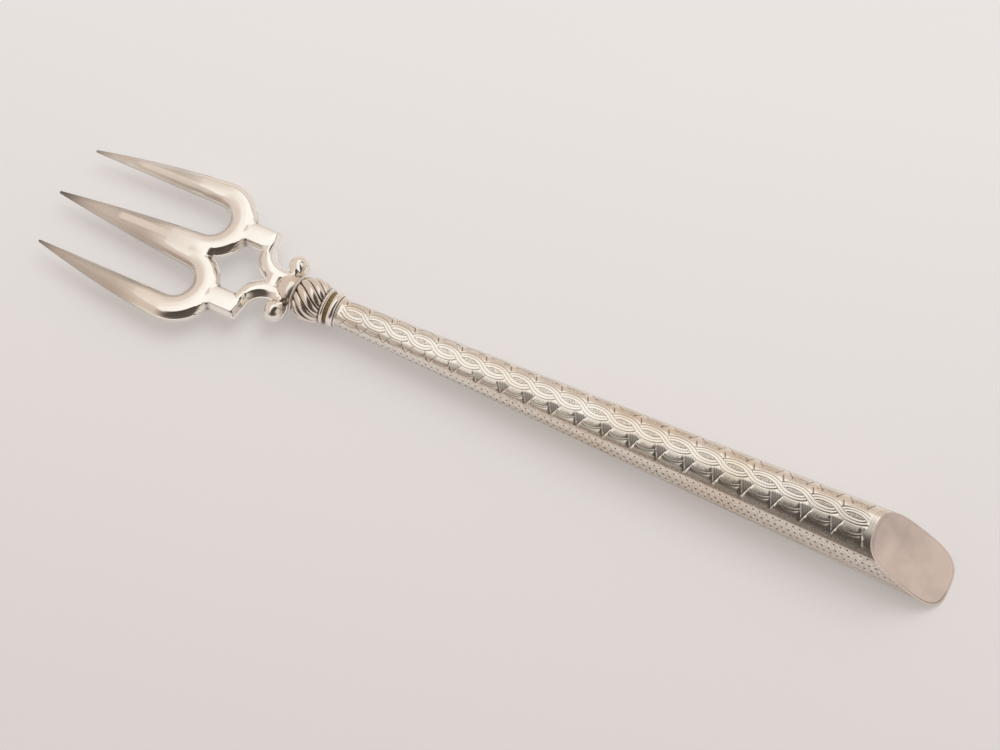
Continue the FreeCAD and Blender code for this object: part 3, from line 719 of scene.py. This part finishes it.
class Handle:
    """Outside of the handle as a map from station and arc length to space."""

    STATIONS = 90
    SAMPLES = 720

    def __init__(self):
        self.stations = np.linspace(TUBE_START, FORK_LENGTH, self.STATIONS)
        self.angles = np.linspace(0, 2 * math.pi, self.SAMPLES + 1) - math.pi / 2
        quarters = np.linspace(TUBE_START, FORK_LENGTH, len(HALF_WIDTHS))
        fit = np.polyfit(quarters - TUBE_START, HALF_WIDTHS, 4)
        y = np.zeros((self.STATIONS, self.SAMPLES + 1))
        z = np.zeros_like(y)
        lengths = np.zeros_like(y)
        for row, station in enumerate(self.stations):
            share = (station - TUBE_START) / (FORK_LENGTH - TUBE_START)
            across = np.polyval(fit, station - TUBE_START)
            upright = across * (1 - (1 - BUTT_HALF_HEIGHT / HALF_WIDTHS[-1]) * share)
            power = 2 + SQUARENESS * share
            cosine = np.cos(self.angles)
            sine = np.sin(self.angles)
            reach = (np.abs(cosine / across) ** power
                     + np.abs(sine / upright) ** power) ** (-1 / power)
            y[row] = reach * cosine
            z[row] = reach * sine
            steps = np.hypot(np.diff(y[row]), np.diff(z[row]))
            lengths[row, 1:] = np.cumsum(steps)
        self.girths = lengths[:, -1]
        even = np.linspace(0, 1, self.SAMPLES + 1)
        self.tables = [np.array([np.interp(even, lengths[row] / self.girths[row], table[row])
                                 for row in range(self.STATIONS)]) for table in (y, z)]

    def girth(self, station):
        return np.interp(station, self.stations, self.girths)

    def at(self, station, arc):
        """Points at arc lengths from the top, positive towards +Y."""
        row = np.clip((station - TUBE_START) / (FORK_LENGTH - TUBE_START), 0, 1)
        row = row * (self.STATIONS - 1)
        column = np.mod(0.5 - arc / self.girth(station), 1) * self.SAMPLES
        low_row = np.clip(row.astype(int), 0, self.STATIONS - 2)
        low_column = np.clip(column.astype(int), 0, self.SAMPLES - 1)
        a = row - low_row
        b = column - low_column
        result = [station]
        for table in self.tables:
            result.append((1 - a) * (1 - b) * table[low_row, low_column]
                          + a * (1 - b) * table[low_row + 1, low_column]
                          + (1 - a) * b * table[low_row, low_column + 1]
                          + a * b * table[low_row + 1, low_column + 1])
        return np.stack(result, -1)

    def frame_at(self, station, arc):
        """Points with the unit vectors along, around and out of the surface."""
        step = 0.05
        along = self.at(station + step, arc) - self.at(station - step, arc)
        around = self.at(station, arc + step) - self.at(station, arc - step)
        along /= np.linalg.norm(along, axis=1)[:, None]
        around /= np.linalg.norm(around, axis=1)[:, None]
        out = np.cross(along, around)
        return self.at(station, arc), along, around, out


HANDLE = Handle()


def cut_station(height):
    """Station of the oblique cut at a height over the fork's axis."""
    return FORK_LENGTH - (height + BUTT_HALF_HEIGHT) * CUT_RUN / (2 * BUTT_HALF_HEIGHT)


def cut_edge(arc_share, inset=0.0):
    """Station where the oblique cut meets the surface at a share of the girth from the top."""
    station = np.full_like(arc_share, FORK_LENGTH - CUT_RUN / 2)
    for _ in range(30):
        points = HANDLE.at(station, arc_share * HANDLE.girth(station))
        station = 0.5 * station + 0.5 * (cut_station(points[:, 2]) - inset)
    return station


def crossing_station(count):
    """Station of a crossing of the two strands; the pitch grows towards the butt."""
    return FIRST_CROSSING + FIRST_PITCH * count + PITCH_GROWTH * count ** 2


def pitch_at(count):
    return FIRST_PITCH + 2 * PITCH_GROWTH * count


def centre_line(station):
    """The pattern drifts a little across the top of the handle."""
    return PATTERN_OFFSET + (station - FIRST_CROSSING) * PATTERN_DRIFT


class Engraving:
    """Collects engraved lines and dots as points on the unrolled surface."""

    def __init__(self):
        self.points = []
        self.marks = []

    def line(self, stations, arcs, width=CUT_WIDTH, dark=1.0, beads=0.0):
        """One cut: a dark middle line between two rims, with beads as darker places."""
        path = np.stack([stations, arcs], 1)
        reach = run_lengths(stations, arcs)
        total = reach[-1]
        if total < 0.15:
            return
        count = max(2, int(total / SAMPLE_STEP) + 1)
        even = np.linspace(0, total, count)
        path = np.stack([np.interp(even, reach, path[:, 0]),
                         np.interp(even, reach, path[:, 1])], 1)
        heading = np.gradient(path, axis=0)
        heading /= np.linalg.norm(heading, axis=1)[:, None]
        side = np.stack([-heading[:, 1], heading[:, 0]], 1)
        shade = dark * (1 - beads * (np.arange(count) % 2))
        for offset in (-1, 0, 1):
            self.points.append(path + side * offset * width)
            tilt = np.zeros((count, 2)) if offset == 0 else side * offset * RIM_TILT
            depth = shade if offset == 0 else np.zeros(count)
            self.marks.append(np.column_stack([depth, tilt * dark]))

    def dot(self, station, arc, long, wide, lean=0.0, dark=1.0):
        """Punched dot or short dash, with its half length and half width."""
        turn = np.array([[math.cos(lean), -math.sin(lean)], [math.sin(lean), math.cos(lean)]])
        angles = np.arange(6) * math.pi / 3
        rim = np.stack([long * np.cos(angles), wide * np.sin(angles)], 1) @ turn.T
        middle = np.array([station, arc])
        self.points.append(np.vstack([middle, middle + rim * 0.55, middle + rim]))
        marks = np.zeros((13, 3))
        marks[:7, 0] = dark
        self.marks.append(marks)


def write_pattern(engraving, side, count, across, width=CUT_WIDTH, dark=1.0, beads=0.0,
                  shown=True):
    """Engrave the shown runs of a line given in crossings and millimetres."""
    station, arc = to_surface(side, count, across)
    shown = shown & (station > PATTERN_START) & (station < edge_limit(station, arc))
    edges = np.flatnonzero(np.diff(np.concatenate([[False], shown, [False]]).astype(int)))
    for first, last in zip(edges[::2], edges[1::2]):
        if last - first > 1:
            engraving.line(station[first:last], arc[first:last], width, dark, beads)


def edge_limit(station, arc):
    """Last station before the beaded border of the oblique end."""
    share = arc / HANDLE.girth(station)
    return np.interp(np.mod(share + 0.5, 1), BORDER_SHARES, BORDER_STATIONS) - BEADED_EDGE


def to_surface(side, count, across):
    """Station and arc length of a pattern point on the top or the underside."""
    station = crossing_station(count)
    arc = across + centre_line(station)
    return station, arc + side * HANDLE.girth(station) / 2


def strand_shape(count):
    """Swing of a strand: flat beside the eyes and steep at the crossings."""
    swing = np.sin(math.pi * count)
    return swing * (1.28 - 0.28 * swing ** 2)


def strand(engraving, side, sign):
    """One of the two twisted strands: three beaded lines, cut where it passes under."""
    count = np.linspace(0, CROSSINGS, CROSSINGS * 60 + 1)
    middle = sign * STRAND_SWING * strand_shape(count)
    slope = np.gradient(middle) / np.gradient(crossing_station(count))
    band = STRAND_HALF_WIDTH * np.sqrt(1 + slope ** 2)
    for offset in (-1, 0, 1):
        across = middle + offset * band
        # The strand that falls towards the near side lies on top
        hidden = (slope > 0) & (np.abs(across + middle) < band)
        write_pattern(engraving, side, count, across, CUT_WIDTH,
                      0.8 if offset == 0 else 1.0, 0.4, ~hidden)


def dotted(engraving, side, count, across):
    """Row of fine dots along a pattern line."""
    station, arc = to_surface(side, count, across)
    reach = run_lengths(station, arc)
    for place in np.arange(FINE_DOT_SPACING / 2, reach[-1], FINE_DOT_SPACING):
        at = np.interp(place, reach, station)
        over = np.interp(place, reach, arc)
        if TUBE_START + 0.5 < at < edge_limit(at, over):
            engraving.dot(at, over, *FINE_DOT, dark=0.9)


def eye(engraving, side, cell):
    """Almond between two crossings with a hatched middle."""
    middle = cell + 0.5
    pitch = pitch_at(middle)
    for step in range(-3, 4):
        place = step * HATCH_SPACING
        reach = EYE_HALF_WIDTH * (1 - (place / EYE_HALF_LENGTH) ** 2)
        across = np.linspace(-reach, reach, 5)
        write_pattern(engraving, side, middle + (place + across * 0.5) / pitch, across,
                      0.7 * CUT_WIDTH, 0.5)


def apex_distance(station):
    """Reach of the darts from the middle of the pattern, growing towards the butt."""
    return DART_APEX + DART_GROWTH * (station - TUBE_START)


def border(engraving, side, cell, flip):
    """Dots, tick, dart and double arc on one flank of the twisted strands."""
    pitch = pitch_at(cell)
    apex = apex_distance(crossing_station(cell))
    half = 0.5 - 0.95 / pitch
    share = np.linspace(-1, 1, 31)
    dotted(engraving, side, cell + 0.5 + 0.33 * share, flip * (2.08 - 0.25 * share ** 2))

    def stroke(start, end, width):
        """Cut between two points in millimetres along and across from the crossing."""
        arm = np.linspace(0, 1, 7)
        write_pattern(engraving, side, cell + (start[0] + (end[0] - start[0]) * arm) / pitch,
                      flip * (start[1] + (end[1] - start[1]) * arm), width * CUT_WIDTH, 0.9)

    top = GROUND_START + 0.25
    if flip > 0:
        stroke((-1.65, top + 0.25), (-0.7, apex - 0.9), 2.4)
        stroke((1.6, top + 0.45), (0.8, apex - 0.85), 2.4)
        stroke((0.25, 1.5), (-0.15, 2.4), 2.0)
    else:
        stroke((-1.4, top - 0.6), (-0.1, apex), 1.3)
        stroke((1.4, top - 0.6), (0.1, apex), 1.3)
        dart_floor(engraving, side, cell, flip, top - 0.6, apex)
    for level in (0.40, 0.62):
        arc = GROUND_START + level * (apex - GROUND_START) + 0.25
        across = arc - 0.55 * np.abs(share) ** 2.4
        write_pattern(engraving, side, cell + 0.5 + half * share, flip * across,
                      CUT_WIDTH, 0.75, 0.4)


def dart_floor(engraving, side, cell, flip, top, apex):
    """Dark hatched floor of a dart, as rows of points that shorten towards its apex."""
    for level in np.linspace(0.03, 0.86, 12):
        half = 1.2 * (1 - level)
        places = np.linspace(-half, half, max(2, int(half / 0.1)))
        station, arc = to_surface(side, cell + places / pitch_at(cell),
                                  flip * (top + (apex - top) * level))
        shown = (station > PATTERN_START) & (station < edge_limit(station, arc))
        strength = 0.2 + 0.8 * smooth_step(station, 82.0, 118.0)
        dark = strength * (0.75 - 0.3 * (np.arange(len(places)) % 2))
        flat = np.zeros(len(places))
        engraving.points.append(np.stack([station, arc], 1)[shown])
        engraving.marks.append(np.column_stack([dark, flat, flat])[shown])


def matte_ground(station, arc):
    """Share of stippled ground: in the eyes, inside the arcs, and in a scalloped outer band."""
    girth = HANDLE.girth(station)
    offset = np.mod(arc - centre_line(station) + girth / 4, girth / 2) - girth / 4
    reach = np.abs(offset)
    root = FIRST_PITCH ** 2 + 4 * PITCH_GROWTH * (station - FIRST_CROSSING)
    count = (np.sqrt(np.maximum(root, 0)) - FIRST_PITCH) / (2 * PITCH_GROWTH)
    place = (np.mod(count, 1) - 0.5) * pitch_at(count)
    apex = apex_distance(station)
    almond = 0.5 * np.clip(1 - (place / 1.9) ** 2, 0, 1)
    eyes = 1 - smooth_step(reach, almond - 0.1, almond + 0.1)
    arc_top = GROUND_START + 0.25 + 0.4 * (apex - GROUND_START) - 0.05 * place ** 2
    inner = (smooth_step(reach, GROUND_START, GROUND_START + 0.25)
             * (1 - smooth_step(reach, arc_top - 0.1, arc_top + 0.2))
             * (1 - smooth_step(np.abs(place), 1.5, 2.0)))
    scallop = 0.14 * np.abs(np.sin(math.pi * station / 1.45))
    band = (smooth_step(reach, apex - 0.25, apex)
            * (1 - smooth_step(reach, apex + 1.1 + scallop, apex + 1.35 + scallop)))
    growth = smooth_step(station, 75.0, 135.0)
    flank = (0.32 + 0.22 * growth) * smooth_step(reach, apex + 1.4, apex + 2.2)
    return np.clip(0.6 * eyes + (0.3 + 0.3 * growth) * (inner + band) + flank, 0, 1)


def flank_arc(station, flank, row):
    """Arc length of a row of dashes on a flank; the rows spread towards the butt."""
    growth = (station - TUBE_START) / (FORK_LENGTH - TUBE_START)
    reach = apex_distance(station) + 0.85 + 1.7 * growth + row * (1.2 + 0.55 * growth)
    return flank * reach + centre_line(station)


def side_rows(engraving, flank):
    """Staggered rows of dashes and a wavy line along one flank."""
    stations = np.arange(TUBE_START + 1.2, FORK_LENGTH, DASH_SPACING)
    for row in range(DASH_ROWS):
        at = stations + (row % 2) * DASH_SPACING / 2
        arc = flank_arc(at, flank, row)
        size = DASH if row else FIRST_DASH
        for station, over, limit in zip(at, arc, edge_limit(at, arc)):
            if station < limit:
                engraving.dot(station, over, *size, flank * DASH_LEAN)
    fine = np.arange(TUBE_START + 0.8, FORK_LENGTH, 0.1)
    arc = flank_arc(fine, flank, DASH_ROWS + 0.1)
    arc = arc + WAVE * np.sin(fine * 2 * math.pi / WAVE_LENGTH)
    shown = fine < edge_limit(fine, arc)
    engraving.line(fine[shown], arc[shown], CUT_WIDTH, 0.8)


def end_border(engraving):
    """Two rows of fine beads round the handle beside the oblique end."""
    for inset in (0.6, 1.15):
        shares = np.linspace(-0.5, 0.5, 241)
        stations = cut_edge(shares, inset)
        arcs = shares * HANDLE.girth(stations)
        reach = run_lengths(stations, arcs)
        for place in np.arange(BEAD_SPACING, reach[-1] - BEAD_SPACING, BEAD_SPACING):
            engraving.dot(np.interp(place, reach, stations), np.interp(place, reach, arcs),
                          BEAD, BEAD, dark=0.7)


BORDER_SHARES = np.linspace(0, 1, 241)
BORDER_STATIONS = cut_edge(BORDER_SHARES - 0.5)


def engrave():
    """All the engraving of the handle."""
    engraving = Engraving()
    for side in (0, 1):
        for sign in (-1, 1):
            strand(engraving, side, sign)
        for cell in range(CROSSINGS):
            eye(engraving, side, cell)
            for flip in (-1, 1):
                border(engraving, side, cell, flip)
    for flank in (-1, 1):
        side_rows(engraving, flank)
    end_border(engraving)
    return np.concatenate(engraving.points), np.concatenate(engraving.marks)


def wrapped(points):
    """Bring arc lengths back to one turn about the top."""
    girth = HANDLE.girth(points[:, 0])
    arc = np.mod(points[:, 1] / girth + 0.5, 1) - 0.5
    return np.stack([points[:, 0], arc * girth], 1)


def handle_skin():
    """Engraved skin of the handle, meshed on its unrolled surface; gives its oblique edge."""
    points, marks = engrave()
    points = wrapped(points)
    limit = np.interp(points[:, 1] / HANDLE.girth(points[:, 0]) + 0.5, BORDER_SHARES,
                      BORDER_STATIONS)
    margin = HANDLE.girth(points[:, 0]) / 2 - np.abs(points[:, 1])
    good = (points[:, 0] > TUBE_START + 0.15) & (points[:, 0] < limit - 0.15) & (margin > 0.08)
    points = points[good]
    marks = marks[good]

    step = SKIN_STEP
    taken = set(map(tuple, np.floor(points / (step * 0.7)).astype(int).tolist()))
    xs, ys = np.meshgrid(np.arange(TUBE_START + step, FORK_LENGTH, step),
                         np.arange(-24, 24, step), indexing="ij")
    grid = np.stack([xs.ravel(), ys.ravel()], 1)
    free = np.array([tuple(cell) not in taken
                     for cell in np.floor(grid / (step * 0.7)).astype(int).tolist()])
    girth = HANDLE.girth(grid[:, 0])
    share = np.clip(grid[:, 1] / girth, -0.5, 0.5)
    limit = np.interp(share + 0.5, BORDER_SHARES, BORDER_STATIONS)
    inside = (np.abs(grid[:, 1]) < girth / 2 - 0.25) & (grid[:, 0] < limit - 0.3)
    grid = grid[free & inside]

    front = np.linspace(-0.5, 0.5, 65)[:-1]
    front_edge = np.stack([np.full_like(front, TUBE_START), front * HANDLE.girth(TUBE_START)], 1)
    toe = cut_edge(np.array([0.5]))[0]
    seam = np.arange(TUBE_START, toe - 0.2, 0.45)[:-1]
    far_seam = np.stack([seam, HANDLE.girth(seam) / 2], 1)
    near_seam = far_seam[1:][::-1] * np.array([1, -1])
    shares = np.linspace(0.5, -0.5, 301)
    stations = cut_edge(shares)
    end_edge = np.stack([stations, shares * HANDLE.girth(stations)], 1)
    outline = np.concatenate([front_edge, far_seam, end_edge, near_seam])

    plan = np.concatenate([outline, points, grid])
    marks = np.concatenate([np.zeros((len(outline), 3)), marks, np.zeros((len(grid), 3))])
    corners = [Vector(point) for point in plan.tolist()]
    loop = list(range(len(outline)))
    vertices, _, faces, origins, _, _ = delaunay_2d_cdt(corners, [], [loop], 1, 1e-5)
    plan = np.array([vertex[:] for vertex in vertices])
    source = [origin[0] if origin else 0 for origin in origins]
    marks = marks[source]
    place, along, around, out = HANDLE.frame_at(plan[:, 0], plan[:, 1])
    place = place - out * (marks[:, 0] * CUT_DEPTH)[:, None]
    normals = out - along * marks[:, 1:2] - around * marks[:, 2:3]
    faces = [list(face) for face in faces]
    attributes = {"tarnish": marks[:, 0], "ground": matte_ground(plan[:, 0], plan[:, 1])}
    add_piece("handle_skin", place, faces, SHEET_SILVER, normals, attributes, "handle_tube")
    return end_edge


def end_cap(end_edge):
    """Cut edge of the tube, joint line and dull oval plate on the oblique end."""
    outer = HANDLE.at(end_edge[:, 0], end_edge[:, 1])[:-1]
    centre = outer.mean(0)
    normal = np.array([2 * BUTT_HALF_HEIGHT, 0, CUT_RUN])
    normal /= np.linalg.norm(normal)
    inward = centre - outer
    reach = np.linalg.norm(inward, axis=1)[:, None]
    inward = inward / reach
    rings = []
    darks = []
    for inset, sink, dark in ((0.0, 0.0, 0.0), (0.08, 0.0, 0.0), (0.42, 0.0, 0.05),
                              (0.47, 0.02, 0.9), (0.53, 0.02, 0.9), (0.58, 0.0, 0.05),
                              (1.2, -0.01, 0.0)):
        rings.append(outer + inward * inset + normal * -sink)
        darks.append(np.full(len(outer), dark))
    for share in (0.3, 0.5, 0.7, 0.85, 0.95):
        rings.append(outer + inward * reach * share + normal * 0.01)
        darks.append(np.zeros(len(outer)))
    points = np.concatenate(rings + [centre[None, :] + normal * 0.01])
    count = len(outer)
    # These rings run the other way round than those of a turned piece
    faces = [face[:1] + face[:0:-1] for face in ring_faces(len(rings), count)]
    last = (len(rings) - 1) * count
    for place in range(count):
        faces.append([last + place, last + (place + 1) % count, len(points) - 1])
    # Painted shade: the dark joint line is kept almost only on the plate's lower, near side, away
    # from the lamp; elsewhere it fades to a trace.
    low = smooth_step(-points[:, 2], -1.0, 4.0)
    near = smooth_step(-points[:, 1], -1.0, 4.0)
    dark = np.concatenate(darks + [np.zeros(1)]) * (0.06 + 0.94 * low * near)
    add_piece("butt_plate", points, faces, PLATE_SILVER, None, {"tarnish": dark}, "end_plate")


# Studio: sheet, surroundings, light and camera

def stage_plane(name, corners, material):
    mesh = bpy.data.meshes.new(name)
    mesh.from_pydata(corners, [], [[0, 1, 2, 3]])
    mesh.materials.append(material)
    plane = bpy.data.objects.new(name, mesh)
    bpy.context.scene.collection.objects.link(plane)
    return plane


def floor():
    size = 1.6
    corners = [(-size, -size, 0), (size, -size, 0), (size, size, 0), (-size, size, 0)]
    stage_plane("sheet", corners, sheet_of_paper())


def surroundings():
    """Warm grey walls all round, with a dark room on the near side."""
    world = bpy.data.worlds.new("studio")
    bpy.context.scene.world = world
    world.use_nodes = True
    kit = Shading(world.node_tree)
    x, y, z = kit.axes("Generated")
    azimuth = kit.value("ARCTAN2", x, kit.value("MULTIPLY", y, -1.0))
    dark = kit.value("MULTIPLY", kit.band(azimuth, -0.25, 1.1, 0.3), kit.band(z, 0.0, 0.8, 0.06))
    background = kit.nodes["Background"]
    kit.feed(background.inputs["Color"], kit.mix(dark, (0.72, 0.62, 0.55), (0.09, 0.075, 0.065)))
    background.inputs["Strength"].default_value = 1.0


def soft_box():
    """Wide soft box over the fork, seen only in the metal, with a dark place at the camera."""
    left, right, near, far, height = -0.25, 0.5, -0.9, 0.55, 0.46
    material, kit, shader = new_material("soft_box")
    x, y, _ = kit.axes("Object")
    slant = kit.value("SUBTRACT", kit.value("ADD", x, 0.13),
                      kit.value("MULTIPLY", kit.value("ADD", y, 0.39), 0.36))
    gloom = kit.value("MULTIPLY", kit.ramp(slant, -0.09, 0.02), kit.ramp(x, -0.3, 0.0))
    glow = kit.glow(kit.mix(gloom, (1.06, 1.04, 1.01), (0.075, 0.062, 0.053)))
    clear = kit.add("BsdfTransparent").outputs["BSDF"]
    shown = kit.value("MULTIPLY", kit.band(x, -0.26, 0.45, 0.02),
                      kit.band(y, -0.8, 0.45, 0.06))
    surface = kit.mix_shaders(shown, clear, glow)
    kit.feed(kit.nodes["Material Output"].inputs["Surface"], surface)
    kit.nodes.remove(shader)
    material.cycles.emission_sampling = "NONE"
    corners = [(left, near, height), (left, far, height), (right, far, height),
               (right, near, height)]
    box = stage_plane("soft_box", corners, material)
    box.visible_camera = False
    box.visible_diffuse = False
    box.visible_shadow = False
    box.visible_transmission = False


def key_lamp():
    """Large soft lamp above and behind, for the soft shadow on the near side."""
    light = bpy.data.lights.new("overhead", "AREA")
    light.shape = "RECTANGLE"
    light.size = 0.75
    light.size_y = 0.75
    light.energy = 2.9
    light.color = (0.9, 0.97, 1.0)
    lamp = bpy.data.objects.new("overhead", light)
    lamp.location = (0.05, 0.45, 0.85)
    lamp.rotation_euler = (-Vector(lamp.location)).to_track_quat("-Z", "Y").to_euler()
    lamp.visible_glossy = False
    bpy.context.scene.collection.objects.link(lamp)


def camera():
    """Camera at the photograph's angle: turned 25 degrees, looking down at 64."""
    azimuth = math.radians(25.324)
    elevation = math.radians(64.122)
    roll = math.radians(0.426)
    distance_back = 0.501
    focal_pixels = 2396.6
    picture_width = 1000.0
    target = Vector((0.00073, 0.00356, 0.0))
    back = Vector((math.sin(azimuth) * math.cos(elevation),
                   -math.cos(azimuth) * math.cos(elevation), math.sin(elevation)))
    right = Vector((math.cos(azimuth), math.sin(azimuth), 0))
    up = back.cross(right)
    turned_right = right * math.cos(roll) + up * math.sin(roll)
    turned_up = up * math.cos(roll) - right * math.sin(roll)
    data = bpy.data.cameras.new("camera")
    data.sensor_width = 36.0
    data.lens = focal_pixels * data.sensor_width / picture_width
    data.clip_start = 0.01
    view = bpy.data.objects.new("camera", data)
    axes = Matrix((turned_right, turned_up, back)).transposed().to_4x4()
    view.matrix_world = Matrix.Translation(target + back * distance_back) @ axes
    bpy.context.scene.collection.objects.link(view)
    bpy.context.scene.camera = view


fork_head()
twist_knop()
ferrule()
end_cap(handle_skin())
floor()
surroundings()
soft_box()
key_lamp()
camera()
bpy.context.scene.view_settings.view_transform = "Standard"
